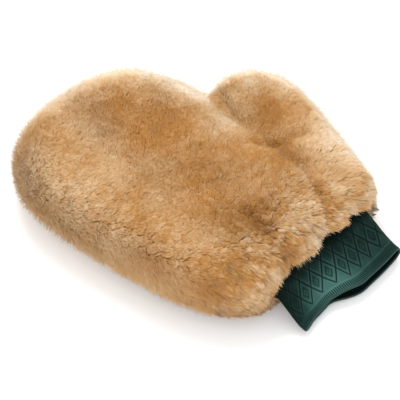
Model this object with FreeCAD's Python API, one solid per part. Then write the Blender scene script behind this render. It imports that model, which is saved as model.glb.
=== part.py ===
"""Sheepskin wash mitt with a thumb and an elastic wrist cuff, lying flat on its palm side.

Millimetres.  +Y runs from the cuff to the fingertips, +X is the thumb side and +Z is up.
The origin is under the middle of the mitt, in the plane that it lies on.
"""
import FreeCAD, Part
import math
import os
from FreeCAD import Vector

# Body: a wide hand lobe and a short thumb lobe, both wool outside and bare skin inside
WOOL_PILE = 15.6            # length of the sheared wool
PELT_THICKNESS = 1.4
PARTING_Z = 27.0            # height of the seam that joins the back panel to the palm panel
HAND_TOP = 55.0
THUMB_TOP = 50.0
EDGE_ROLL = 0.40            # share of a lobe's radius over which its edge is still rounding over
ROLL_STEPS = (0, 22, 44, 63, 80)      # degrees round the edge where a section is drawn
LAYER_OVERLAP = 2.0         # how far a cutting body runs past the face that it cuts

# Outlines at the parting, clockwise from the fingertips, and the line that each lobe is inset towards
HAND_OUTLINE = ((-32, 148), (8, 142), (37, 126), (54, 95), (59, 60), (58, 0), (58, -60), (46, -108),
                (0, -116), (-45, -114), (-78, -97), (-98, -60), (-108, -5), (-115, 55), (-107, 108),
                (-74, 140))
HAND_SPINE = ((-28, -30), (-28, 62))
THUMB_OUTLINE = ((80, 59), (105, 45), (115, 14), (108, -24), (91, -70), (72, -108), (40, -116),
                 (0, -92), (0, -30), (26, 30), (54, 56))
THUMB_SPINE = ((44, -70), (72, 16))

# Cuff: one band of woven elastic, its ends butted and sewn at the little-finger side
BAND_WIDTH = 50.0           # standard 50 mm elastic
CUFF_CENTRE_X = 4.0
CUFF_HALF_SPAN = 52.5
HEM_Y = -143.5
LAP = 8.0                   # how much of the band is sewn inside the wrist of the pelt
CUFF_HEM_Z = 16.0
CUFF_WRIST_Z = 27.5
CUFF_HEM_GAP = 20.0         # clear height of the mouth
CUFF_WRIST_GAP = 15.0
NECK = 12.0                 # how far the wrist of the pelt runs on into the hand before it widens
PLY = 0.7                   # the face cloth, and the back cloth behind it
YARN = 0.5                  # rubber yarns between the two cloths
YARN_PITCH = 3.0
DROOP_STEPS = 4             # sections along the band, which droops from the wrist to the hem

# Sewing
FLANGE = 4.6                # seam allowance turned inwards round the parting
FLANGE_START = 16.0         # from the top edge of the band to the first of the turned-in edges
FLANGE_THICKNESS = 1.3
STITCH_PITCH = 6.0
LOOP_RADIUS = 2.1           # an overseam stitch round the two turned-in edges
LOOP_SET_BACK = 1.2         # from the turned-in edge to the middle of the loop
LOOP_SWEEP = 262.0          # degrees, from one skin's face round the edge to the other's
THREAD_RADIUS = 0.3
CUFF_STITCH_PITCH = 4.0
CUFF_STITCH_LENGTH = 2.8
THREAD_CLEARANCE = 0.2


def rays(outline, spine):
    """Each outline point, as its nearest place on the lobe's spine and the way from there to it."""
    start, end = Vector(*spine[0], 0), Vector(*spine[1], 0)
    along = end - start
    for x, y in outline:
        share = (Vector(x, y, 0) - start).dot(along) / along.dot(along)
        foot = start + along * min(1.0, max(0.0, share))
        yield foot, Vector(x, y, 0) - foot


def mean_radius(outline, spine):
    return sum(ray.Length for _, ray in rays(outline, spine)) / len(outline)


def shrink(outline, spine, scale):
    """Outline points drawn in towards the spine."""
    return [foot + ray * scale for foot, ray in rays(outline, spine)]


def smooth_loop(points, height=0.0):
    """Closed smooth wire through the points, at one height."""
    curve = Part.BSplineCurve()
    curve.interpolate(Points=[Vector(p.x, p.y, height) for p in points], PeriodicFlag=True)
    return Part.Wire([curve.toShape()])


def lobe(outline, spine, depth, bottom, top):
    """Pillow over an outline: widest at the parting, rolled in to a flat top and bottom."""
    full = math.sin(math.radians(ROLL_STEPS[-1]))
    radius = mean_radius(outline, spine)
    sections = []
    steps = [-angle for angle in reversed(ROLL_STEPS[1:])] + list(ROLL_STEPS)
    for angle in steps:
        reach = (top if angle > 0 else bottom) - PARTING_Z
        height = PARTING_Z + reach * abs(math.sin(math.radians(angle))) / full
        rolled = 1 - EDGE_ROLL * (1 - math.cos(math.radians(angle)))
        sections.append(smooth_loop(shrink(outline, spine, rolled * (radius - depth) / radius), height))
    return Part.makeLoft(sections, True, False)


def body_layer(depth):
    """Hand lobe and thumb lobe together, at one depth under the tips of the wool."""
    hand = lobe(HAND_OUTLINE, HAND_SPINE, depth, depth, HAND_TOP - depth)
    thumb = lobe(THUMB_OUTLINE, THUMB_SPINE, depth, depth, THUMB_TOP - depth)
    return hand.fuse(thumb)


def plate(depth, low, high):
    """Flat plate with the body's outline at the parting."""
    plates = []
    for outline, spine in ((HAND_OUTLINE, HAND_SPINE), (THUMB_OUTLINE, THUMB_SPINE)):
        radius = mean_radius(outline, spine)
        face = Part.Face(smooth_loop(shrink(outline, spine, (radius - depth) / radius), low))
        plates.append(face.extrude(Vector(0, 0, high - low)))
    return plates[0].fuse(plates[1]).removeSplitter()


def cuff_section(y, depth):
    """Mid height, half span and half height of the cuff at y; depth is measured in from its face."""
    share = (y - HEM_Y) / BAND_WIDTH
    droop = 0.5 - 0.5 * math.cos(math.pi * min(1.0, max(0.0, share)))
    middle = CUFF_HEM_Z + (CUFF_WRIST_Z - CUFF_HEM_Z) * droop
    gap = CUFF_HEM_GAP + (CUFF_WRIST_GAP - CUFF_HEM_GAP) * droop
    return middle, CUFF_HALF_SPAN - depth, gap / 2 + 2 * PLY + YARN - depth


def stadium(y, depth):
    """Wire of two flats and two round ends, standing across the wrist."""
    middle, half_span, half_height = cuff_section(y, depth)
    left = CUFF_CENTRE_X - half_span + half_height
    right = CUFF_CENTRE_X + half_span - half_height
    low, high = middle - half_height, middle + half_height
    corners = [Vector(left, y, high), Vector(right, y, high), Vector(right, y, low), Vector(left, y, low)]
    right_end = Part.Arc(corners[1], Vector(right + half_height, y, middle), corners[2])
    left_end = Part.Arc(corners[3], Vector(left - half_height, y, middle), corners[0])
    edges = [Part.LineSegment(corners[0], corners[1]), right_end,
             Part.LineSegment(corners[2], corners[3]), left_end]
    return Part.Wire([edge.toShape() for edge in edges])


def cuff_volume(depth):
    """Solid inside the cuff's face, or inside one of its layers when depth is not zero."""
    start = HEM_Y - LAYER_OVERLAP
    step = (BAND_WIDTH + 2 * LAYER_OVERLAP) / DROOP_STEPS
    band = Part.makeLoft([stadium(start + i * step, depth) for i in range(DROOP_STEPS + 1)], True, False)
    wrist = Part.Face(stadium(start + DROOP_STEPS * step, depth))
    return band.fuse(wrist.extrude(Vector(0, NECK, 0)))


def slab(low, high, axis="z"):
    """Box larger than the mitt, between two heights or two stations along it."""
    size = 400.0
    if axis == "z":
        return Part.makeBox(size, size, high - low, Vector(-size / 2, -size / 2, low))
    return Part.makeBox(size, high - low, size, Vector(-size / 2, low, -size / 2))


def overseam_loops():
    """Thread loops round the turned-in edges, from one side of the wrist round to the other."""
    loops = []
    first_y = HEM_Y + BAND_WIDTH + FLANGE_START + STITCH_PITCH / 2
    edge = plate(WOOL_PILE + PELT_THICKNESS + FLANGE, PARTING_Z, PARTING_Z + 1)
    rim = max(edge.Faces, key=lambda face: face.CenterOfMass.z).OuterWire
    for curve in rim.Edges:
        count = max(1, round(curve.Length / STITCH_PITCH))
        for i in range(count):
            parameter = curve.getParameterByLength((i + 0.5) * curve.Length / count)
            point = curve.valueAt(parameter)
            along = curve.tangentAt(parameter)
            point.z = PARTING_Z
            outward = along.cross(Vector(0, 0, 1))
            if edge.isInside(point + outward + Vector(0, 0, 0.5), 1e-3, False):
                outward = -outward
            middle = point + outward * LOOP_SET_BACK
            if point.y > first_y:
                loops.append(thread_loop(middle, -outward))
    return Part.makeCompound(loops)


def thread_loop(middle, inward):
    """Part of a ring in the upright plane through inward, open on the side away from it."""
    ring = Part.makeTorus(LOOP_RADIUS, THREAD_RADIUS, Vector(), Vector(0, 0, 1), -180, 180, LOOP_SWEEP)
    ring.rotate(Vector(), Vector(0, 0, 1), -LOOP_SWEEP / 2)
    ring.rotate(Vector(), Vector(1, 0, 0), 90)
    ring.rotate(Vector(), Vector(0, 0, 1), math.degrees(math.atan2(inward.y, inward.x)))
    ring.translate(middle)
    return ring


def straight_stitch(point, direction):
    half = direction * (CUFF_STITCH_LENGTH / 2)
    return Part.makeCylinder(THREAD_RADIUS, CUFF_STITCH_LENGTH, point - half, direction)


def attach_stitches():
    """Row of stitches round the inside of the cuff, half way up the lap."""
    y = HEM_Y + BAND_WIDTH - LAP / 2
    path = stadium(y, 2 * PLY + YARN + THREAD_RADIUS + THREAD_CLEARANCE)
    stitches = []
    for curve in path.Edges:
        count = max(1, round(curve.Length / CUFF_STITCH_PITCH))
        for i in range(count):
            parameter = curve.getParameterByLength((i + 0.5) * curve.Length / count)
            stitches.append(straight_stitch(curve.valueAt(parameter), curve.tangentAt(parameter)))
    return Part.makeCompound(stitches)


def side_seam_stitches():
    """Zigzag over the butted ends of the band, inside the round end on the little-finger side."""
    stitches = []
    y = HEM_Y + CUFF_STITCH_PITCH / 2
    lean = 1
    while y < HEM_Y + BAND_WIDTH - LAP:
        middle, half_span, _ = cuff_section(y, 2 * PLY + YARN + THREAD_RADIUS + 2 * THREAD_CLEARANCE)
        point = Vector(CUFF_CENTRE_X - half_span, y, middle)
        stitches.append(straight_stitch(point, Vector(0, 0.8, 0.6 * lean)))
        y += CUFF_STITCH_PITCH
        lean = -lean
    return Part.makeCompound(stitches)


def build():
    """Every piece by name, in the frame described at the top."""
    skin_depth = WOOL_PILE + PELT_THICKNESS
    wool_hull = body_layer(0)
    pelt_hull = body_layer(WOOL_PILE)
    hollow = body_layer(skin_depth)

    wrist_y = HEM_Y + BAND_WIDTH
    inside = {depth: cuff_volume(depth) for depth in (-PELT_THICKNESS, 0, PLY, PLY + YARN, 2 * PLY + YARN)}
    passage = inside[2 * PLY + YARN]
    band = inside[0].common(slab(HEM_Y, wrist_y, "y"))
    neck = inside[-PELT_THICKNESS].common(slab(wrist_y - LAP, wrist_y + NECK, "y"))

    low, high = PARTING_Z - FLANGE_THICKNESS, PARTING_Z + FLANGE_THICKNESS
    turned_in = plate(skin_depth - LAYER_OVERLAP / 2, low, high).cut(plate(skin_depth + FLANGE, 0, HAND_TOP))
    turned_in = turned_in.cut(slab(-200, wrist_y + FLANGE_START, "y"))
    skin = pelt_hull.fuse(neck).cut(hollow).fuse(turned_in).cut(band).cut(passage)
    wool = wool_hull.cut(pelt_hull.fuse(neck)).cut(band)

    upper, lower = slab(PARTING_Z, 200), slab(-200, PARTING_Z)
    face = band.cut(inside[PLY])
    core = inside[PLY].cut(inside[PLY + YARN])
    back = inside[PLY + YARN].cut(passage).common(slab(HEM_Y, wrist_y, "y"))
    yarn_count = int(BAND_WIDTH / YARN_PITCH)
    first_yarn = HEM_Y + (BAND_WIDTH - (yarn_count - 1) * YARN_PITCH - YARN) / 2
    yarns = []
    for i in range(yarn_count):
        near = first_yarn + i * YARN_PITCH
        yarns.append(core.common(slab(near, near + YARN, "y")))

    return {
        "back_wool": wool.common(upper),
        "palm_wool": wool.common(lower),
        "back_pelt": skin.common(upper),
        "palm_pelt": skin.common(lower),
        "body_seam_thread": overseam_loops(),
        "cuff_face_cloth": face,
        "cuff_rubber_yarns": Part.makeCompound(yarns),
        "cuff_back_cloth": back,
        "cuff_side_seam_thread": side_seam_stitches(),
        "cuff_attaching_thread": attach_stitches(),
    }


def main():
    os.makedirs("parts", exist_ok=True)
    pieces = build()
    outside = Part.makeCompound([pieces[name] for name in ("back_wool", "palm_wool", "cuff_face_cloth")])
    box = outside.optimalBoundingBox(False, False)
    for name, shape in pieces.items():
        shape.translate(Vector(-box.Center.x, -box.Center.y, -box.ZMin))
        shape.exportStep(os.path.join("parts", name + ".step"))
        print(name, len(shape.Solids), "solids", round(shape.Volume), "mm3", "valid", shape.isValid())
    print("box", [round(v, 2) for v in (box.XLength, box.YLength, box.ZLength)],
          "moved by", [round(v, 2) for v in (-box.Center.x, -box.Center.y, -box.ZMin)])


main()
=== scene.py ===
import math

import bpy
import numpy as np
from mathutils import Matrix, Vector, noise
from mathutils.bvhtree import BVHTree
from mathutils.kdtree import KDTree


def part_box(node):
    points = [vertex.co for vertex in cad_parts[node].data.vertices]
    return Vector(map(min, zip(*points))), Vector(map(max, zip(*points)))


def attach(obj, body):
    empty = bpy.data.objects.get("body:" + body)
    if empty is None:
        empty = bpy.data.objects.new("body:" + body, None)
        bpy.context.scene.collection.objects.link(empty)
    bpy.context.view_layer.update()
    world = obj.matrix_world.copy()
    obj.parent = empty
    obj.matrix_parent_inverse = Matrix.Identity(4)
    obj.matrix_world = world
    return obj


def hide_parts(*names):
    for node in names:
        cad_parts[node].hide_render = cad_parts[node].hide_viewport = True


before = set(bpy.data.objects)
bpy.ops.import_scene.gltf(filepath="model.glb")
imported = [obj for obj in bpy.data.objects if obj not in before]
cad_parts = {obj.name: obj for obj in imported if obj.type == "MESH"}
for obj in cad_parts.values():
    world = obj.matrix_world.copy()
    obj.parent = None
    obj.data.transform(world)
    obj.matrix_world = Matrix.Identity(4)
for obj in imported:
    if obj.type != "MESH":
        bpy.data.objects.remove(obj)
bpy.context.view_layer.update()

MM = 0.001
rng = np.random.default_rng(20)


# ---------------------------------------------------------------- small helpers

def box_mm(node):
    low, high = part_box(node)
    return np.array(low) / MM, np.array(high) / MM


def smooth(x, start, end):
    """0 before start, 1 after end, and an even rise between them."""
    t = np.clip((np.asarray(x, float) - start) / (end - start), 0, 1)
    return t * t * (3 - 2 * t)


def unit(vectors):
    return vectors / np.maximum(np.linalg.norm(vectors, axis=-1, keepdims=True), 1e-9)


def lumps(points, size, seed):
    """Smooth noise from about -1 to 1 whose features are size mm across."""
    shift = Vector((seed * 17.3, seed * 5.1, seed * 9.7))
    return np.array([noise.noise(Vector(p) / size + shift) for p in points])


def node_arrays(name):
    """Points (mm) and triangles of a CAD node."""
    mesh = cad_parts[name].data
    mesh.calc_loop_triangles()
    points = np.empty(len(mesh.vertices) * 3, np.float32)
    mesh.vertices.foreach_get("co", points)
    corners = np.empty(len(mesh.loop_triangles) * 3, np.int32)
    mesh.loop_triangles.foreach_get("vertices", corners)
    return points.reshape(-1, 3).astype(float) / MM, corners.reshape(-1, 3)


def make_mesh(name, points, faces, attributes=None, normals=None):
    """Object from points (mm) and a list of face arrays, each with its own number of corners."""
    mesh = bpy.data.meshes.new(name)
    mesh.vertices.add(len(points))
    mesh.vertices.foreach_set("co", (np.asarray(points) * MM).astype(np.float32).ravel())
    loops = np.concatenate([f.ravel() for f in faces]).astype(np.int32)
    sizes = np.concatenate([np.full(len(f), f.shape[1]) for f in faces])
    mesh.loops.add(len(loops))
    mesh.loops.foreach_set("vertex_index", loops)
    mesh.polygons.add(len(sizes))
    mesh.polygons.foreach_set("loop_start", np.concatenate([[0], np.cumsum(sizes)[:-1]]).astype(np.int32))
    mesh.polygons.foreach_set("use_smooth", np.ones(len(sizes), bool))
    for key, values in (attributes or {}).items():
        kind = "FLOAT" if np.ndim(values) == 1 else "FLOAT_VECTOR"
        field = "value" if kind == "FLOAT" else "vector"
        mesh.attributes.new(key, kind, "POINT").data.foreach_set(
            field, np.asarray(values, np.float32).ravel())
    mesh.update(calc_edges=True)
    mesh.validate()
    if normals is not None:
        mesh.normals_split_custom_set_from_vertices(normals.astype(np.float32))
    made = bpy.data.objects.new(name, mesh)
    bpy.context.scene.collection.objects.link(made)
    return made


def finish_piece(piece, material, slot, *nodes):
    piece.data.materials.clear()
    piece.data.materials.append(material)
    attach(piece, "root")
    if nodes:
        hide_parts(*nodes)


# ---------------------------------------------------------------- materials

class Shader:
    """A material's nodes, added one at a time."""

    def __init__(self, name, roughness, specular, sheen=0.0, sheen_tint=(1, 1, 1)):
        self.material = bpy.data.materials.new(name)
        self.material.use_nodes = True
        self.tree = self.material.node_tree
        self.surface = self.tree.nodes["Principled BSDF"]
        self.surface.inputs["Roughness"].default_value = roughness
        self.surface.inputs["Specular IOR Level"].default_value = specular
        self.surface.inputs["Sheen Weight"].default_value = sheen
        self.surface.inputs["Sheen Roughness"].default_value = 0.45
        self.surface.inputs["Sheen Tint"].default_value = (*sheen_tint, 1)

    def add(self, kind, **settings):
        node = self.tree.nodes.new(kind)
        for key, value in settings.items():
            setattr(node, key, value)
        return node

    def link(self, output, target):
        self.tree.links.new(output, target)

    def attribute(self, name, output="Fac"):
        return self.add("ShaderNodeAttribute", attribute_name=name).outputs[output]

    def coordinates(self):
        return self.add("ShaderNodeTexCoord").outputs["Object"]

    def grain(self, scale, detail, source=None):
        """Noise, scale in features per metre of the object's own space."""
        texture = self.add("ShaderNodeTexNoise")
        texture.inputs["Scale"].default_value = scale
        texture.inputs["Detail"].default_value = detail
        self.link(source or self.coordinates(), texture.inputs["Vector"])
        return texture.outputs["Fac"]

    def ramp(self, value, *stops):
        ramp = self.add("ShaderNodeValToRGB")
        elements = ramp.color_ramp.elements
        while len(elements) < len(stops):
            elements.new(0.5)
        for element, (position, color) in zip(elements, stops):
            element.position = position
            element.color = (*color, 1)
        self.link(value, ramp.inputs["Fac"])
        return ramp.outputs["Color"]

    def mix(self, share, first, second):
        node = self.add("ShaderNodeMix", data_type="RGBA")
        for key, value in (("Factor", share), ("A", first), ("B", second)):
            self.give(node.inputs[key], value)
        for output in node.outputs:
            if output.type == "RGBA":
                return output

    def math(self, operation, first, second):
        node = self.add("ShaderNodeMath", operation=operation)
        self.give(node.inputs[0], first)
        self.give(node.inputs[1], second)
        return node.outputs[0]

    def give(self, socket, value):
        if isinstance(value, bpy.types.NodeSocket):
            self.link(value, socket)
        elif isinstance(value, tuple):
            socket.default_value = (*value, 1)
        else:
            socket.default_value = value

    def color(self, output):
        self.link(output, self.surface.inputs["Base Color"])

    def roughness(self, output):
        self.link(output, self.surface.inputs["Roughness"])

    def bump(self, height, distance, strength):
        node = self.add("ShaderNodeBump")
        node.inputs["Distance"].default_value = distance
        node.inputs["Strength"].default_value = strength
        self.link(height, node.inputs["Height"])
        self.link(node.outputs["Normal"], self.surface.inputs["Normal"])


# Brown, ochre, cream and pale, which are the tones -1, 0, 1 and 2. Painted shade pulls wool towards the
# brown and painted light towards the pale.
WOOL_ROOTS = ((0.23, 0.130, 0.065), (0.43, 0.180, 0.038), (0.60, 0.35, 0.145), (0.84, 0.62, 0.38))
WOOL_TIPS = ((0.34, 0.215, 0.130), (0.56, 0.275, 0.078), (0.77, 0.54, 0.315), (0.98, 0.84, 0.67))
DEEPEST, PALEST = -1.0, 2.0


def wool_colors(shader, tone):
    """The colours of the roots and of the tips at a tone."""
    share = shader.math("DIVIDE", shader.math("SUBTRACT", tone, DEEPEST), PALEST - DEEPEST)
    stops = (0, 1 / 3, 2 / 3, 1)
    return [shader.ramp(share, *zip(stops, colors)) for colors in (WOOL_ROOTS, WOOL_TIPS)]


def wool_material():
    """Deeper at the root, partly as the wool is and partly as painted shade deep in the pile, and paler at
    the tip; 'tone' turns a lock from brown to ochre, cream and pale.
    """
    shader = Shader("wool", 0.85, 0.04, 0.04, (1.0, 0.80, 0.55))
    grain = shader.math("MULTIPLY", shader.math("SUBTRACT", shader.grain(900, 2), 0.5), 0.5)
    roots, tips = wool_colors(shader, shader.math("ADD", shader.attribute("tone"), grain))
    along = shader.ramp(shader.attribute("tip"), (0.3, (0,) * 3), (0.95, (1,) * 3))
    shader.color(shader.mix(along, roots, tips))
    shader.roughness(shader.ramp(shader.grain(1500, 1), (0.3, (0.75,) * 3), (0.7, (0.92,) * 3)))
    return shader.material


def underwool_material():
    """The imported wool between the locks, in the same tones."""
    shader = Shader("underwool", 0.9, 0.1, 0.1, (1.0, 0.8, 0.6))
    fine = shader.grain(700, 4)
    roots, tips = wool_colors(shader, shader.attribute("tone"))
    shader.color(shader.mix(shader.ramp(fine, (0.3, (0,) * 3), (0.7, (0.7,) * 3)), roots, tips))
    shader.bump(fine, 0.002, 0.8)
    return shader.material


def suede_material():
    """Napped inner face of the skins: buff, with pores and darker handled patches."""
    shader = Shader("suede", 0.88, 0.15, 0.3, (1.0, 0.92, 0.8))
    patches = shader.grain(30, 3)
    nap = shader.grain(1800, 3)
    base = shader.ramp(patches, (0.35, (0.44, 0.33, 0.215)), (0.7, (0.60, 0.48, 0.34)))
    fibres = shader.ramp(nap, (0.35, (0.3, 0.21, 0.13)), (0.65, (0.72, 0.6, 0.45)))
    shader.color(shader.mix(0.35, base, fibres))
    shader.bump(nap, 0.0006, 0.5)
    return shader.material


WAVE_REPEAT = 0.314         # the bands of a wave texture repeat every WAVE_REPEAT / scale


def cloth_material(name, dark, mid, light, pitch):
    """Woven elastic: fine yarns both ways, darker in the sunken woven lines and where painted shade is
    given, and paler where a painted highlight is given.
    """
    shader = Shader(name, 0.5, 0.035, 0.0)
    place = shader.attribute("cloth", "Vector")
    weave = []
    for direction in ("X", "Y"):
        wave = shader.add("ShaderNodeTexWave", wave_type="BANDS", bands_direction=direction)
        wave.inputs["Scale"].default_value = WAVE_REPEAT / pitch
        wave.inputs["Distortion"].default_value = 0.6
        wave.inputs["Detail"].default_value = 1.0
        shader.link(place, wave.inputs["Vector"])
        weave.append(wave.outputs["Fac"])
    yarns = shader.math("MULTIPLY", weave[0], weave[1])
    # painted highlight from the attribute, with a little mottle of noise on it
    highlight_and_mottle = shader.math("ADD", shader.attribute("painted_highlight"), shader.math(
        "MULTIPLY", shader.math("SUBTRACT", shader.grain(0.16, 3, place), 0.5), 0.25))
    body = shader.mix(highlight_and_mottle, mid, light)
    body = shader.mix(shader.math("MULTIPLY", yarns, 0.12), body, light)
    shader.color(shader.mix(shader.attribute("lines_and_painted_shade"), body, dark))
    shader.roughness(shader.ramp(yarns, (0.0, (0.62,) * 3), (1.0, (0.40,) * 3)))
    shader.bump(yarns, 0.0004, 0.7)
    return shader.material


def thread_material(name, dark, light):
    """Spun thread: a fine twist along it."""
    shader = Shader(name, 0.6, 0.3, 0.15, light)
    twist = shader.grain(4000, 2)
    shader.color(shader.ramp(twist, (0.35, dark), (0.7, light)))
    shader.bump(twist, 0.0002, 0.5)
    return shader.material


# ---------------------------------------------------------------- the cuff's shape

CUFF_LOW, CUFF_HIGH = box_mm("cuff_face_cloth")
FACE_PLY, YARN_LAYER, BACK_PLY = 0.7, 0.5, 0.7
CUFF_THICKNESS = FACE_PLY + YARN_LAYER + BACK_PLY
BAND = CUFF_HIGH[1] - CUFF_LOW[1]
RISE_END = BAND * 0.92          # from the hem up to here the band rises and opens to the wrist's size
CENTRE_X = (CUFF_LOW[0] + CUFF_HIGH[0]) / 2
HALF_SPAN = (CUFF_HIGH[0] - CUFF_LOW[0]) / 2
END_RADIUS = 8.0                # of the band where it turns round each side of the wrist
WRIST_Z = 27.5                  # height of the band's middle plane at the wrist
WRIST_HALF = 9.4                # and half its height there
FLAT = 2 * (HALF_SPAN - END_RADIUS)
GIRTH = 2 * FLAT + 2 * math.pi * END_RADIUS


def ring_place(s):
    """Unit place round the band's section at s mm along it: across from -1 to 1, and up from -1 to 1."""
    s = np.mod(s, GIRTH)
    half_turn = math.pi * END_RADIUS
    x, up = np.empty_like(s), np.empty_like(s)
    quarter = half_turn / 2
    # from the middle of the little-finger end, over the top, round the thumb end and back underneath
    turn = s < quarter
    angle = math.pi - s[turn] / END_RADIUS
    x[turn], up[turn] = -FLAT / 2 + END_RADIUS * np.cos(angle), np.sin(angle)
    top = (s >= quarter) & (s < quarter + FLAT)
    x[top], up[top] = -FLAT / 2 + (s[top] - quarter), 1.0
    turn = (s >= quarter + FLAT) & (s < quarter + FLAT + half_turn)
    angle = math.pi / 2 - (s[turn] - quarter - FLAT) / END_RADIUS
    x[turn], up[turn] = FLAT / 2 + END_RADIUS * np.cos(angle), np.sin(angle)
    under = (s >= quarter + FLAT + half_turn) & (s < quarter + 2 * FLAT + half_turn)
    x[under], up[under] = FLAT / 2 - (s[under] - quarter - FLAT - half_turn), -1.0
    turn = s >= quarter + 2 * FLAT + half_turn
    angle = -math.pi / 2 - (s[turn] - quarter - 2 * FLAT - half_turn) / END_RADIUS
    x[turn], up[turn] = -FLAT / 2 + END_RADIUS * np.cos(angle), np.sin(angle)
    return x / HALF_SPAN, up


def levels(side, v):
    """Height of the band's middle plane and half its height, side mm across and v mm above its hem."""
    rise = smooth(v, 0, RISE_END)
    mouth = 2.9 + 3.4 * smooth(side, -24, -2) - 0.6 * smooth(side, 20, 45)
    middle = 5.6 + 2.4 * smooth(side, -34, 6)
    return middle + (WRIST_Z - middle) * rise, mouth + (WRIST_HALF - mouth) * rise


def cuff_points(s, v, depth):
    """Points on the cuff at s mm round the band and v mm up from its hem, depth mm in from its face."""
    across, up = ring_place(s)
    x = CENTRE_X + across * (HALF_SPAN - depth)
    side = x - CENTRE_X
    middle, half = levels(side, v)
    low = 1 - smooth(v, 0, RISE_END)
    wave = 1.3 * np.cos(2 * math.pi * (side + 12) / 62) + 0.5 * np.cos(2 * math.pi * (side + 3) / 23)
    z = middle + up * (half - depth) + wave * np.clip(up, 0, 1) * low * smooth(v, -6, 14)
    drawn_up = 11.5 * smooth(side, 8, -24) - 2.5 * smooth(side, -38, -52) + 0.5 * np.cos(side / 11)
    y = CUFF_LOW[1] + v + drawn_up * (1 - v / BAND) ** 1.3 - 1.0 * (up < 0) * low * smooth(side, -24, 0)
    return np.stack([x, y, np.maximum(z, 0.4)], -1)


# ---------------------------------------------------------------- the fleece under the locks

LOCK_DEPTH = 7.4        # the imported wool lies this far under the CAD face, and the locks rise from it
RIM_DRAW = 3.4          # and this much further under on an upright wall, whose locks stand out past it
VOXEL = 2.3
CORE_FLOOR = 0.3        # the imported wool's lowest height
PARTING_LIFT = 0.8      # the palm wool's edge is raised into the back wool's, so that they remesh as one

WOOL_LOW, WOOL_HIGH = box_mm("back_wool")
PARTING_Z = WOOL_LOW[2]

# Creases as lines on the back of the mitt: points (x, y), depth and half width
CREASES = (
    (((66, 56), (57, 42), (52, 24), (48, 14)), 3.8, 6.0),          # crotch of the thumb
    (((36, -14), (46, -28), (58, -32), (76, -40)), 3.0, 5.0),      # across the thumb's root
    (((46, -50), (34, -74), (20, -94), (6, -112)), 4.4, 4.0),      # parting down to the cuff
    (((-24, -60), (-28, -80), (-30, -112)), 4.4, 7.5),             # gathers over the cuff
    (((30, -88), (32, -116)), 3.2, 4.0),
    (((1, -94), (2, -116)), 3.2, 4.0),
    (((-72, 14), (-60, 22), (-52, 20)), 1.8, 6.0),                 # dents in the back
    (((-24, -58), (-18, -66)), 2.4, 14.0),
    (((66, 4), (76, 8)), 2.6, 14.0),
)
LIP_START = -95.0                           # the wool from here to its end over the cuff is drawn back
LIP_GAPS = ((-53, 8, 0.7), (-31, 11, 1), (5, 5, 1), (37, 6, 1))     # and notched: x, half width and share


def line_distance(xy, line):
    """Distance from each point to a chain of straight runs."""
    best = np.full(len(xy), 1e9)
    for start, end in zip(line[:-1], line[1:]):
        start, run = np.array(start, float), np.subtract(end, start).astype(float)
        share = np.clip(((xy - start) @ run) / (run @ run), 0, 1)
        best = np.minimum(best, np.linalg.norm(xy - start - share[:, None] * run, axis=1))
    return best


def crease_depth(points):
    """How far the back of the mitt is pressed in at each point."""
    depth = np.zeros(len(points))
    for line, deep, half in CREASES:
        depth += deep * np.exp(-(line_distance(points[:, :2], line) / half) ** 2)
    return depth * smooth(points[:, 2], PARTING_Z + 2, PARTING_Z + 16)


def remeshed_fleece():
    """One closed skin round both wool layers, as points, triangles and normals."""
    upper, upper_faces = node_arrays("back_wool")
    lower, lower_faces = node_arrays("palm_wool")
    lower = lower.copy()
    lower[lower[:, 2] > PARTING_Z - 0.05, 2] += PARTING_LIFT
    both_faces = np.vstack([upper_faces, lower_faces + len(upper)])
    rough = make_mesh("rough", np.vstack([upper, lower]), [both_faces])
    remesh = rough.modifiers.new("remesh", "REMESH")
    remesh.mode = "VOXEL"
    remesh.voxel_size = VOXEL * MM
    soften = rough.modifiers.new("soften", "SMOOTH")
    soften.factor = 0.5
    soften.iterations = 8
    done = bpy.data.meshes.new_from_object(rough.evaluated_get(bpy.context.evaluated_depsgraph_get()))
    bpy.data.objects.remove(rough)
    done.calc_loop_triangles()
    points = np.array([v.co for v in done.vertices]) / MM
    normals = np.array([v.normal for v in done.vertices])
    triangles = np.array([t.vertices for t in done.loop_triangles])
    return points, triangles, normals


def near(names):
    """A surface to measure distances from: the faces of some CAD nodes."""
    points, faces, count = [], [], 0
    for name in names:
        p, f = node_arrays(name)
        points.append(p)
        faces.append(f + count)
        count += len(p)
    return BVHTree.FromPolygons([Vector(p) for p in np.vstack(points)], np.vstack(faces).tolist())


def distances(tree, points):
    return np.array([tree.find_nearest(Vector(p))[3] for p in points])


def settle_lip(points):
    """Draw the wool's lip over the cuff back into lobes and keep it off the cuff's face."""
    x, y, z = points.T
    notch = sum(deep * np.exp(-((x - at) / half) ** 2) for at, half, deep in LIP_GAPS)
    share = 0.60 - 0.62 * np.clip(notch, 0, 1) + 0.24 * smooth(x, 8, 48)
    y[:] = np.where(y < LIP_START, LIP_START + (y - LIP_START) * share, y)
    side = x - CENTRE_X
    v = y - CUFF_LOW[1]
    middle, half = levels(side, v)
    past = np.clip(np.abs(side) - FLAT / 2, 0, END_RADIUS) / END_RADIUS
    half = half * np.sqrt(1 - past ** 2) + 0.5
    over = (np.abs(side) < HALF_SPAN) & (v < BAND + 2)
    z[:] = np.where(over & (z > middle), np.maximum(z, middle + half), z)
    z[:] = np.where(over & (z < middle), np.minimum(z, middle - half), z)
    z[:] = np.maximum(z, CORE_FLOOR)


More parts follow.
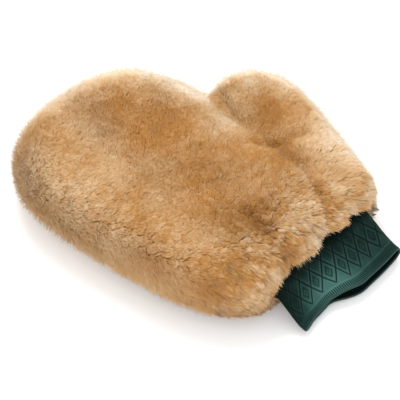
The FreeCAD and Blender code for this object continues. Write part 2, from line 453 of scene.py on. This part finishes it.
def fleece_core():
    """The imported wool: its points and triangles, and how far each point is open to the air."""
    points, triangles, normals = remeshed_fleece()
    skins = distances(near(["back_pelt", "palm_pelt"]), points)
    cuff = distances(near(["cuff_face_cloth"]), points)
    outside = smooth(skins, 3.0, 9.0) * smooth(cuff, 1.0, 4.0)
    swell = 1.2 * lumps(points, 34, 1) + 0.7 * lumps(points, 13, 2)
    swell *= smooth(points[:, 2], 8, 22)
    drawn_in = RIM_DRAW * (1 - np.abs(normals[:, 2]))
    offset = outside * (swell - LOCK_DEPTH - drawn_in - crease_depth(points)) - (1 - outside) * 1.0
    points = points + normals * offset[:, None]
    settle_lip(points)
    return points, triangles, outside


core_points, core_faces, core_outside = fleece_core()


def face_normals(points, faces):
    a, b, c = (points[faces[:, i]] for i in range(3))
    return np.cross(b - a, c - a)


def point_normals(points, faces):
    total = np.zeros_like(points)
    spans = face_normals(points, faces)
    for i in range(3):
        np.add.at(total, faces[:, i], spans)
    return unit(total)


core_normals = point_normals(core_points, core_faces)


# ---------------------------------------------------------------- the locks of wool

LOCKS_PER_MM2 = 3.4
UNDER_SHARE = 0.26          # the face it lies on carries fewer, because the floor presses it flat
UNDER_FACING = -0.5         # a place whose normal's z is below this is on that face
LOCKS_PER_PIECE = 16000
FLOOR_GAP = 0.15
LOCK_LENGTH = 7.6
LIP_LENGTH = 3.8            # added where the longest locks hang over the cuff
LOCK_RADIUS = (0.31, 0.44)
UNDER_THICKER = 1.5
ROOT_SUNK = 0.8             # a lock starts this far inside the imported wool
RINGS_AT = (0.45, 0.86)     # a lock's two rings of corners, as shares of the way to its tip
SHADE_SHARE = 0.62          # how far a lock is shaded as part of the whole pile
# Tufts and the smaller ones in them: spacing, least and most drawing together, spread of tone
TUFTS = ((9.0, 0.05, 0.20, 0.08), (3.0, 0.18, 0.32, 0.13))
MIDDLE_X = WOOL_LOW[0] + 0.42 * (WOOL_HIGH[0] - WOOL_LOW[0])


def scatter(density):
    """Roots spread over the outside faces: places and normals."""
    faces = core_faces[core_outside[core_faces].min(1) > 0.05]
    spans = face_normals(core_points, faces)
    area = np.linalg.norm(spans, axis=1) / 2
    up = spans[:, 2] / (2 * area)
    share = np.where(up < UNDER_FACING, UNDER_SHARE, 1.0)
    count = int((area * share).sum() * density)
    picked = rng.choice(len(faces), count, p=area * share / (area * share).sum())
    u, v = rng.random(count), rng.random(count)
    fold = u + v > 1
    u[fold], v[fold] = 1 - u[fold], 1 - v[fold]
    weights = np.stack([1 - u - v, u, v], 1)
    chosen = faces[picked]
    places = (core_points[chosen] * weights[:, :, None]).sum(1)
    normals = unit((core_normals[chosen] * weights[:, :, None]).sum(1))
    return places, normals


def nearest(centres, points):
    tree = KDTree(len(centres))
    for i, centre in enumerate(centres):
        tree.insert(Vector(centre), i)
    tree.balance()
    return np.array([tree.find(Vector(p))[1] for p in points])


def shagginess(points, normals):
    """0 where the pile stands even like velvet, 1 where long locks fall towards the cuff."""
    x, y, _ = points.T
    low = smooth(y + 0.25 * np.abs(x - MIDDLE_X), -30, -92)
    right = 0.8 * smooth(x, 52, 92) * smooth(y, 15, -40)
    left = 0.35 * smooth(x, -52, -92)
    rim = 0.35 * smooth(1 - normals[:, 2], 0.35, 0.9)
    return np.clip(np.maximum(low, right) + left + rim, 0, 1)


def lean(points, normals):
    """Which way the nap lies, along the surface, and how strongly."""
    x, y, _ = points.T
    low = smooth(y, -45, -108)
    flow = np.zeros_like(points)
    flow[:, 0] = low * 0.010 * (x - MIDDLE_X) + 0.22 * lumps(points, 42, 3)
    flow[:, 1] = -0.12 - 0.8 * low + 0.22 * lumps(points, 42, 4)
    right = smooth(x, 45, 95) * smooth(y, 20, -40)
    left = smooth(x, -30, -75)
    flow[:, 0] += 0.7 * right + 0.45 * left
    flow[:, 1] -= 0.2 * right + 0.45 * left
    combed_up = 2.2 * smooth(x, -60, -90) * smooth(y, -30, 40)
    flow[:, 2] = -0.30 * (1 - np.abs(normals[:, 2])) * (1 - combed_up)
    flow -= normals * (flow * normals).sum(1)[:, None]
    return flow


# Where the wool is deeper or paler than the rest: place (x, y), radius and change of tone. Some are the
# wool's own tone and some are painted light on the lit rims and painted shade on the shaded walls.
TONE_SPOTS = (
    (0, 50, 36, -0.50), (-18, -8, 24, -0.26), (-22, -60, 17, -0.26), (-44, -46, 12, -0.26),
    (70, -4, 17, -0.35), (40, -36, 15, -0.85), (-92, -34, 14, -0.15), (-84, -80, 24, -0.70),
    (-70, 72, 20, 0.02), (-60, 46, 13, 0.20), (-102, 52, 20, 0.55), (-60, -54, 15, 0.28),
    (-84, -46, 14, 0.20), (-42, -88, 15, 0.30), (2, -88, 15, 0.75), (34, -94, 12, 0.35),
    (-44, 90, 18, 0.50), (-60, 93, 10, -0.35), (-36, 30, 14, 0.25), (-60, 12, 14, 0.20),
    (-96, 10, 14, 0.45), (-79, 6, 9, -0.40), (64, -62, 22, 0.20), (90, -50, 22, 0.45),
    (20, 104, 22, 0.45), (42, 62, 20, 0.95), (33, 18, 18, 0.70), (60, 30, 10, 0.55),
    (86, 34, 13, 0.90), (60, 12, 9, 0.45), (-106, 98, 26, 0.70), (-70, -96, 22, -0.15),
    (76, -52, 22, 0.40), (-10, 120, 14, 0.30), (96, -82, 24, 0.70), (82, -94, 16, 0.80),
    (-34, 134, 18, 0.60), (-46, 62, 16, 0.35), (0, 92, 14, -0.25), (-20, 12, 14, 0.20),
    (20, -10, 12, -0.20), (106, 8, 16, 1.20),
)
LIT_SIDE = (0.86, 0.51, 0.0)        # the long flank from fingertips to thumb, combed up; wool facing this way is painted palest, as painted light of the lamp behind
THUMB_VALLEY = ((50, 22), (42, -6), (38, -30), (42, -54))   # the dip between hand and thumb stays ochre, with little of the painted light


def lock_tone(points, normals):
    """0 for ochre wool, 1 for cream, 2 for the palest; below 0 it turns brown. Painted light and painted
    shade are put into it as well as the wool's own tone.
    """
    tone = 0.36 + 0.16 * lumps(points, 26, 6) + 0.16 * lumps(points, 9, 7)
    # painted shade: the wool is made darker in the creases
    tone -= 0.12 * np.clip(crease_depth(points), 0, 3)
    # painted light: wool facing the lamp behind is made paler, except in creases and in the dip by the thumb
    facing_light = normals @ np.array(LIT_SIDE)
    open_rim = 1 - np.clip(crease_depth(points) / 0.4, 0, 1)
    valley = np.exp(-(line_distance(points[:, :2], THUMB_VALLEY) / 13) ** 2)
    tone += 1.15 * smooth(facing_light, -0.02, 0.80) * open_rim * (1 - 0.85 * valley)
    # painted light: faces turned towards the cuff are made paler, in place of their shade
    tone += smooth(-normals[:, 1], 0.25, 0.8) * (0.4 + 0.3 * smooth(points[:, 0], -10, 45))
    on_top = 0.45 + 0.55 * smooth(normals[:, 2], 0.0, 0.5)
    for x, y, radius, change in TONE_SPOTS:
        away = np.hypot(points[:, 0] - x, points[:, 1] - y)
        tone += change * np.exp(-(away / radius) ** 2) * on_top
    return tone


def shade_on_flank(points, normals):
    """How much painted shade falls on the wool: most low down on the little-finger flank that faces away
    from the lamp, and over to the cuff.
    """
    flank = smooth(points[:, 2], 48, 18) * smooth(-(normals @ np.array(LIT_SIDE)), 0.0, 0.5)
    return flank * smooth(points[:, 1], 70, -15) * smooth(points[:, 0], 30, -10)


def shade_in_streaks(tone, painted_shade, chance):
    """Painted shade in fine streaks: some locks turn a greyish brown and the rest cream, so that the two
    mix.
    """
    return np.where(chance < 0.80 * painted_shade, -0.95 + 0.3 * tone, tone + 0.22 * painted_shade)


def wool_locks(name, root, bend, tip, outward, radius, blunt, tone, material, *nodes):
    """Closed three-sided locks, each curving from its root past its bend to its tip."""
    count = len(root)
    side = unit(np.cross(unit(tip - root), unit(rng.normal(size=(count, 3)))))
    other = np.cross(unit(tip - root), side)
    points, normals = np.empty((count, 8, 3)), np.empty((count, 8, 3))
    points[:, 0], points[:, 7] = root, tip
    normals[:, 0], normals[:, 7] = outward, outward
    for ring, (t, share) in enumerate(zip(RINGS_AT, (1.0, blunt))):
        centre = root * (1 - t) ** 2 + bend * 2 * t * (1 - t) + tip * t ** 2
        for corner in range(3):
            angle = corner * 2 * math.pi / 3
            out = math.cos(angle) * side + math.sin(angle) * other
            at = 1 + ring * 3 + corner
            points[:, at] = centre + out * (radius * share)[:, None]
            normals[:, at] = unit(outward * SHADE_SHARE + out * (1 - SHADE_SHARE))
    points[:, :, 2] = np.maximum(points[:, :, 2], FLOOR_GAP)
    corners = np.arange(3)
    turned = (corners + 1) % 3
    sides = np.stack([corners + 1, turned + 1, turned + 4, corners + 4], 1)
    ends = np.concatenate([np.stack([turned + 1, corners + 1, 0 * corners], 1),
                           np.stack([corners + 4, turned + 4, 7 + 0 * corners], 1)])
    steps = 8 * np.arange(count)[:, None, None]
    attributes = {"tip": np.tile([0, *np.repeat(RINGS_AT, 3), 1], count), "tone": np.repeat(tone, 8)}
    faces = [(sides[None] + steps).reshape(-1, 4), (ends[None] + steps).reshape(-1, 3)]
    piece = make_mesh(name, points.reshape(-1, 3), faces, attributes, normals.reshape(-1, 3))
    finish_piece(piece, material, "fleece", *nodes)


def grow_fleece(material):
    """Locks over the whole outside: each leans with the nap and draws in to its tuft's tip."""
    root, normal = scatter(LOCKS_PER_MM2)
    shag = shagginess(root, normal)
    upright = 1 - np.abs(normal[:, 2])
    over_cuff = smooth(root[:, 1], -40, -90)
    length = LOCK_LENGTH + 0.3 * upright + LIP_LENGTH * over_cuff * shag + 0.6 * lumps(root, 20, 5)
    edge = smooth(1 - normal[:, 2], 0.2, 0.6)
    length *= 1 + (0.06 + 0.08 * shag + 0.12 * edge) * rng.uniform(-1, 1, len(root))
    scatter_angle = (0.05 + 0.12 * shag)[:, None] * rng.normal(size=root.shape)
    straight = unit(normal + lean(root, normal) + scatter_angle)
    tip = root + straight * length[:, None]
    tone = lock_tone(root, normal)
    patchy = 0.75 + 1.6 * shag * smooth(root[:, 0], 60, 0)
    for spacing, least, most, spread in TUFTS:
        centres = rng.choice(len(root), int(len(root) / LOCKS_PER_MM2 / spacing ** 2), replace=False)
        tuft = centres[nearest(root[centres], root)]
        wander = rng.normal(0, 0.06 * spacing, root.shape) * shag[:, None]
        tip = tip + (tip[tuft] + wander[tuft] - tip) * (least + (most - least) * shag)[:, None]
        tone = tone + rng.normal(0, spread, len(root))[tuft] * patchy
        tip = tip + straight * (rng.normal(0, 0.05 * spacing, len(root))[tuft] * (0.3 + 0.7 * shag))[:, None]
    chance = 0.55 * rng.random(len(root))[tuft] + 0.45 * rng.random(len(root))
    tone = shade_in_streaks(tone + rng.normal(0, 0.08, len(root)), shade_on_flank(root, normal), chance)
    tone = np.clip(tone, DEEPEST, PALEST)
    bend = root + normal * length[:, None] * 0.55
    root = root - normal * ROOT_SUNK
    thicker = np.where(normal[:, 2] < UNDER_FACING, UNDER_THICKER, 1.0 + 0.15 * edge)
    radius = rng.uniform(*LOCK_RADIUS, len(root)) * thicker
    blunt = 0.80 - 0.25 * np.maximum(shag, 0.4 * edge)

    back = normal[:, 2] * 6 + (root[:, 2] - PARTING_Z) > 0
    for side, mask in (("back", back), ("palm", ~back)):
        members = rng.permutation(np.flatnonzero(mask))
        groups = np.array_split(members, math.ceil(len(members) / LOCKS_PER_PIECE))
        for number, group in enumerate(groups, 1):
            wool_locks(f"{side}_wool_locks_{number}", root[group], bend[group], tip[group], normal[group],
                       radius[group], blunt[group], tone[group], material, f"{side}_wool")


FUZZ_PER_MM2 = 2.2
FUZZ_LENGTH, FUZZ_RIM_LENGTH = 8.8, 3.0     # everywhere, and added round the rim
FUZZ_RADIUS = (0.10, 0.19)
FUZZ_BLUNT = 0.6                            # a fibre's width at its second ring, as a share of its first


def grow_fuzz(material):
    """Fine single fibres that stand out past the locks and soften the outline."""
    root, normal = scatter(FUZZ_PER_MM2)
    edge = smooth(1 - normal[:, 2], 0.15, 0.5)
    kept = rng.random(len(root)) < np.where(normal[:, 2] < -0.6, 0.05, 0.15 + 0.85 * edge)
    root, normal, edge = root[kept], normal[kept], edge[kept]
    length = (FUZZ_LENGTH + FUZZ_RIM_LENGTH * edge) * rng.uniform(0.82, 1.18, len(root))
    straight = unit(normal + lean(root, normal) + 0.22 * rng.normal(size=root.shape))
    tip = root + straight * length[:, None]
    bend = root + normal * length[:, None] * 0.6 + rng.normal(0, 0.7, root.shape)
    # painted light: fuzz on rims that face the lamp is made paler, as a glow
    painted_glow = edge * smooth(normal @ np.array(LIT_SIDE), -0.3, 0.3)
    tone = np.clip(lock_tone(root, normal) + 0.2 + 0.8 * painted_glow, DEEPEST, PALEST)
    radius = rng.uniform(*FUZZ_RADIUS, len(root))
    groups = np.array_split(np.arange(len(root)), math.ceil(len(root) / LOCKS_PER_PIECE))
    for number, group in enumerate(groups, 1):
        wool_locks(f"wool_fuzz_{number}", root[group], bend[group], tip[group], normal[group], radius[group],
                   np.full(len(group), FUZZ_BLUNT), tone[group], material, "back_wool", "palm_wool")


core_tone = np.clip(lock_tone(core_points, core_normals), DEEPEST, PALEST)
fleece = make_mesh("fleece_underwool", core_points, [core_faces], {"tone": core_tone})
finish_piece(fleece, underwool_material(), "fleece", "back_wool", "palm_wool")
wool = wool_material()
grow_fleece(wool)
grow_fuzz(wool)


# ---------------------------------------------------------------- the cuff

DIAMONDS, RIBS = 19, 150            # whole numbers of them go round the band
LATTICE_ACROSS = GIRTH / DIAMONDS
LATTICE_UP = 19.0
FIRST_ROW = 19.0                    # height of the first row's middle above the hem
RIB_PITCH = GIRTH / RIBS
RIB_BAND = (1.6, 6.6)
LINE_V = 7.4                        # height of the plain line between the ribs and the lattice
RING_SIZE, RING_BREADTH = 0.42, 0.075       # of the small diamond inside each one, as shares of it
DOT_SIZE = 0.10


def lattice(s, v, breadth=0.55, beside=0.0):
    """How strongly the woven lines show at (s, v), 0 to 1; beside moves them that far off, on both sides."""
    lines = np.zeros_like(s)
    for slant in (1, -1):
        phase = s / LATTICE_ACROSS + slant * (v - FIRST_ROW) / LATTICE_UP + 0.5
        away = np.abs(phase - np.round(phase)) * LATTICE_ACROSS * 0.86
        lines = np.maximum(lines, np.exp(-((away - beside) / breadth) ** 2))
    cell = np.abs(s / LATTICE_ACROSS - np.round(s / LATTICE_ACROSS)) * 2
    if not beside:
        for row in (FIRST_ROW, FIRST_ROW + LATTICE_UP):
            ring = cell + np.abs(v - row) / (LATTICE_UP / 2)
            lines = np.maximum(lines, 0.8 * np.exp(-((ring - RING_SIZE) / RING_BREADTH) ** 2))
            lines = np.maximum(lines, 0.7 * np.exp(-(ring / DOT_SIZE) ** 2))
    bottom = FIRST_ROW - LATTICE_UP / 2
    return lines * smooth(v, bottom - 0.6, bottom + 0.6)


def shell(name, around, rows, outer, inner, material, slot, nodes, lines_and_painted_shade=None):
    """Closed ring of cloth between two skins, each a function of s and v that gives points."""
    s_line = np.arange(around) * GIRTH / around
    s, v = np.meshgrid(s_line, rows, indexing="ij")
    s, v = s.ravel(), v.ravel()
    points = np.vstack([outer(s, v), inner(s, v)])
    count = len(rows)
    i, j = np.meshgrid(np.arange(around), np.arange(count - 1), indexing="ij")
    a = (i * count + j).ravel()
    b = (((i + 1) % around) * count + j).ravel()
    skin = np.stack([a, b, b + 1, a + 1], 1)
    shift = around * count
    flipped = skin[:, ::-1] + shift
    edge_a = np.arange(around) * count
    edge_b = ((np.arange(around) + 1) % around) * count
    hem = np.stack([edge_b, edge_a, edge_a + shift, edge_b + shift], 1)
    last = count - 1
    top = np.stack([edge_a + last, edge_b + last, edge_b + last + shift, edge_a + last + shift], 1)
    line = np.zeros(len(s)) if lines_and_painted_shade is None else lines_and_painted_shade(s, v)
    # the inner skin is made 0.6 of the way to the dark colour: painted shade inside the cuff
    attributes = {"cloth": np.tile(np.stack([s, v, 0 * s], 1), (2, 1)),
                  "lines_and_painted_shade": np.concatenate([line, 0.6 + 0 * line]), "painted_highlight": np.tile(highlight_share(s, v), 2)}
    piece = make_mesh(name, points, [np.vstack([skin, flipped, hem, top])], attributes)
    finish_piece(piece, material, slot, *nodes)
    return piece


def highlight_share(s, v):
    """Painted highlight on the band, which makes its colour paler: broad on its hem and most near the top's
    middle, thin along the raised lines and over the ribs, and fading out under the wool.
    """
    across, up = ring_place(s)
    middle = np.exp(-((across * HALF_SPAN + 14) / 24) ** 2) * (up > 0)
    ridge = 0.22 * lattice(s, v, 0.5, 1.25) + 0.35 * np.exp(-((v - LINE_V) / 0.5) ** 2)
    ribs = 0.30 * smooth(v, 1.4, 2.0) * smooth(v, 6.8, 6.2)
    hem = np.exp(-((v - 9) / 11) ** 2) * (0.06 + 0.62 * middle)
    raised = (ridge + ribs) * (0.35 + 0.65 * middle)
    return (hem + 0.05 + raised) * smooth(v, 44, 18)


def lines_and_shade(s, v):
    """The woven lines, and painted shade on the cloth under the wool and at the little-finger end."""
    across, _ = ring_place(s)
    # painted shade: the cloth under the wool's lip and at the little-finger end is made darker
    deep = np.maximum(0.92 * smooth(v, 25, 38), 0.6 * smooth(across, -0.60, -0.95))
    return np.maximum(lattice(s, v), deep)


def face_relief(s, v):
    points = cuff_points(s, v, 0.0)
    inward = cuff_points(s, v, 1.0) - points
    raised = 0.42 * lattice(s, v) - 0.16 * np.exp(-((v - LINE_V) / 0.45) ** 2)
    return points + unit(inward) * raised[:, None]


def selvedge_relief(s, v):
    points = cuff_points(s, v, 0.0)
    inward = cuff_points(s, v, 1.0) - points
    return points + unit(inward) * (0.45 * rib_mask(s, v))[:, None]


def rib_mask(s, v):
    inside = smooth(v, RIB_BAND[0], RIB_BAND[0] + 0.5) * smooth(v, RIB_BAND[1], RIB_BAND[1] - 0.5)
    return inside * (0.5 - 0.5 * np.cos(2 * math.pi * s / RIB_PITCH))


def layer(depth):
    return lambda s, v: cuff_points(s, v, depth)


cuff_green = cloth_material("cuff_green", (0.0008, 0.003, 0.0022), (0.0026, 0.0105, 0.0075),
                            (0.078, 0.195, 0.170), 0.55)
# the inner ply is near black: dark green cloth made darker still as painted shade inside the cuff
cuff_inner_shaded = cloth_material("cuff_back", (0.001, 0.003, 0.003), (0.002, 0.008, 0.006),
                           (0.006, 0.018, 0.015), 0.6)
FACE_STEPS, SELVEDGE_STEPS, BACK_STEPS = 440, 900, 300      # points round each ring of cloth
rows_face = np.linspace(RIB_BAND[1], BAND, 92)
rows_hem = np.linspace(0.0, RIB_BAND[1], 18)
rows_back = np.linspace(0.3, BAND, 40)
face_cloth = shell("cuff_face_cloth_lattice", FACE_STEPS, rows_face, face_relief, layer(FACE_PLY),
                   cuff_green, "cuff_cloth", ("cuff_face_cloth",), lines_and_shade)
selvedge = shell("cuff_face_cloth_selvedge", SELVEDGE_STEPS, rows_hem, selvedge_relief, layer(FACE_PLY),
                 cuff_green, "cuff_cloth", ("cuff_face_cloth",), rib_mask)
back_cloth = shell("cuff_back_cloth_ring", BACK_STEPS, rows_back, layer(FACE_PLY + YARN_LAYER),
                   layer(CUFF_THICKNESS), cuff_inner_shaded, "cuff_lining_cloth", ("cuff_back_cloth",))


def tube(name, lines, radius, material, slot, nodes, closed):
    """Round threads along lines of points, each closed on itself or capped at its ends."""
    sides = 6
    points, faces, count = [], [], 0
    for line in lines:
        forward = np.roll(line, -1, 0) - np.roll(line, 1, 0)
        if not closed:
            forward[0], forward[-1] = line[1] - line[0], line[-1] - line[-2]
        forward = unit(forward)
        up = np.tile([0.0, 0.0, 1.0], (len(line), 1))
        up[np.abs(forward[:, 2]) > 0.9] = (1.0, 0.0, 0.0)
        side = unit(np.cross(forward, up))
        other = np.cross(side, forward)
        angle = np.arange(sides) * 2 * math.pi / sides
        out = np.cos(angle)[:, None] * side[:, None] + np.sin(angle)[:, None] * other[:, None]
        ring = line[:, None] + radius * out
        points.append(ring.reshape(-1, 3))
        steps = len(line) if closed else len(line) - 1
        i, j = np.meshgrid(np.arange(steps), np.arange(sides), indexing="ij")
        following = (i + 1) % len(line)
        turn = (j + 1) % sides
        here, there = i * sides, following * sides
        quads = np.stack([here + j, here + turn, there + turn, there + j], -1)
        faces.append(quads.reshape(-1, 4) + count)
        if not closed:
            cap = np.array([[0, 1, 2, 3], [0, 3, 4, 5]])
            faces.append(cap[:, ::-1] + count)
            faces.append(cap + count + (len(line) - 1) * sides)
        count += len(line) * sides
    piece = make_mesh(name, np.vstack(points), [np.vstack(faces)])
    finish_piece(piece, material, slot, *nodes)


YARN_SPACING = 3.0
YARN_RADIUS = YARN_LAYER / 2 - 0.03
THREAD_RADIUS = 0.28
SEAM_REACH, SEAM_STEP = 1.6, 2.0            # the zigzag's reach to each side of the seam, and its rise
STITCH_PITCH, STITCH_LENGTH = 4.0, 2.8      # of the row that sews the cuff on
HEM_RADIUS = 0.95


def cuff_threads():
    """Rubber yarns, the side seam's zigzag, the row that sews the cuff on, and the rolled hem edge."""
    around = np.linspace(0, GIRTH, 160, endpoint=False)
    rubber = thread_material("rubber_yarn", (0.55, 0.52, 0.42), (0.8, 0.78, 0.68))
    heights = np.arange(2.0, BAND - 1, YARN_SPACING)
    rings = [cuff_points(around, np.full_like(around, v), FACE_PLY + YARN_LAYER / 2) for v in heights]
    tube("cuff_rubber_yarn_rings", rings, YARN_RADIUS, rubber, "rubber_yarn", ("cuff_rubber_yarns",), True)

    green = thread_material("cuff_thread", (0.003, 0.016, 0.012), (0.012, 0.05, 0.038))
    inside = CUFF_THICKNESS + 0.32
    zigzag = np.arange(1.0, BAND - 8, SEAM_STEP)
    sideways = np.where(np.arange(len(zigzag)) % 2, SEAM_REACH, GIRTH - SEAM_REACH)
    line = cuff_points(sideways, zigzag, inside)
    tube("cuff_side_seam", [line], THREAD_RADIUS, green, "cuff_thread", ("cuff_side_seam_thread",), False)
    stitches = []
    for start in np.arange(0, GIRTH - 2.0, STITCH_PITCH):
        s = start + np.linspace(0, STITCH_LENGTH, 5)
        stitches.append(cuff_points(s, np.full_like(s, BAND - 4.0), inside))
    tube("cuff_attaching_stitches", stitches, THREAD_RADIUS, green, "cuff_thread",
         ("cuff_attaching_thread",), False)

    line = cuff_points(around, np.full_like(around, 0.1), CUFF_THICKNESS / 2)
    rim = thread_material("hem_edge", (0.004, 0.018, 0.014), (0.03, 0.085, 0.07))
    tube("cuff_hem_edge", [line], HEM_RADIUS, rim, "cuff_cloth", ("cuff_face_cloth",), True)


cuff_threads()


# ---------------------------------------------------------------- the skins and their seam

suede = suede_material()
for name in ("back_pelt", "palm_pelt"):
    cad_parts[name].data.materials.clear()
    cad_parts[name].data.materials.append(suede)
seam = thread_material("seam_thread", (0.42, 0.31, 0.19), (0.66, 0.54, 0.38))
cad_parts["body_seam_thread"].data.materials.clear()
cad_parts["body_seam_thread"].data.materials.append(seam)


# ---------------------------------------------------------------- floor, light and camera

FLOOR_HALF = 6000.0


def stage_floor():
    corners = FLOOR_HALF * np.array([(-1, -1, 0), (1, -1, 0), (1, 1, 0), (-1, 1, 0)], float)
    floor = make_mesh("floor", corners, [np.array([[0, 1, 2, 3]])])
    shader = Shader("floor_white", 0.9, 0.05)
    shader.surface.inputs["Base Color"].default_value = (0.95, 0.95, 0.95, 1)
    floor.data.materials.append(shader.material)


LIGHT_TARGET = Vector((0, 0, 0.02))


def area_light(name, place, size, power):
    lamp = bpy.data.lights.new(name, "AREA")
    lamp.size = size
    lamp.energy = power
    holder = bpy.data.objects.new(name, lamp)
    bpy.context.scene.collection.objects.link(holder)
    holder.location = place
    holder.rotation_euler = (LIGHT_TARGET - Vector(place)).to_track_quat("-Z", "Y").to_euler()


def light_studio():
    world = bpy.data.worlds.new("studio")
    bpy.context.scene.world = world
    world.use_nodes = True
    world.node_tree.nodes["Background"].inputs["Color"].default_value = (1, 1, 1, 1)
    world.node_tree.nodes["Background"].inputs["Strength"].default_value = 1.0
    area_light("key", (0.5, 0.6, 1.1), 0.8, 11)
    area_light("fill", (-0.9, -0.5, 0.7), 1.0, 6)


CAMERA_AZIMUTH, CAMERA_ELEVATION, CAMERA_DISTANCE = -48.6, 52.0, 1.0395
CAMERA_TARGET = Vector((-0.0202, -0.0084, 0.027))
LENS_MM, SENSOR_MM = 120.8, 36


def place_camera():
    azimuth, elevation = math.radians(CAMERA_AZIMUTH), math.radians(CAMERA_ELEVATION)
    flat = math.cos(elevation)
    back = Vector((math.sin(azimuth) * flat, -math.cos(azimuth) * flat, math.sin(elevation)))
    data = bpy.data.cameras.new("camera")
    data.lens = LENS_MM
    data.sensor_width = SENSOR_MM
    camera = bpy.data.objects.new("camera", data)
    bpy.context.scene.collection.objects.link(camera)
    camera.location = CAMERA_TARGET + back * CAMERA_DISTANCE
    camera.rotation_euler = back.to_track_quat("Z", "Y").to_euler()
    bpy.context.scene.camera = camera


stage_floor()
light_studio()
place_camera()
bpy.context.scene.view_settings.view_transform = "Standard"
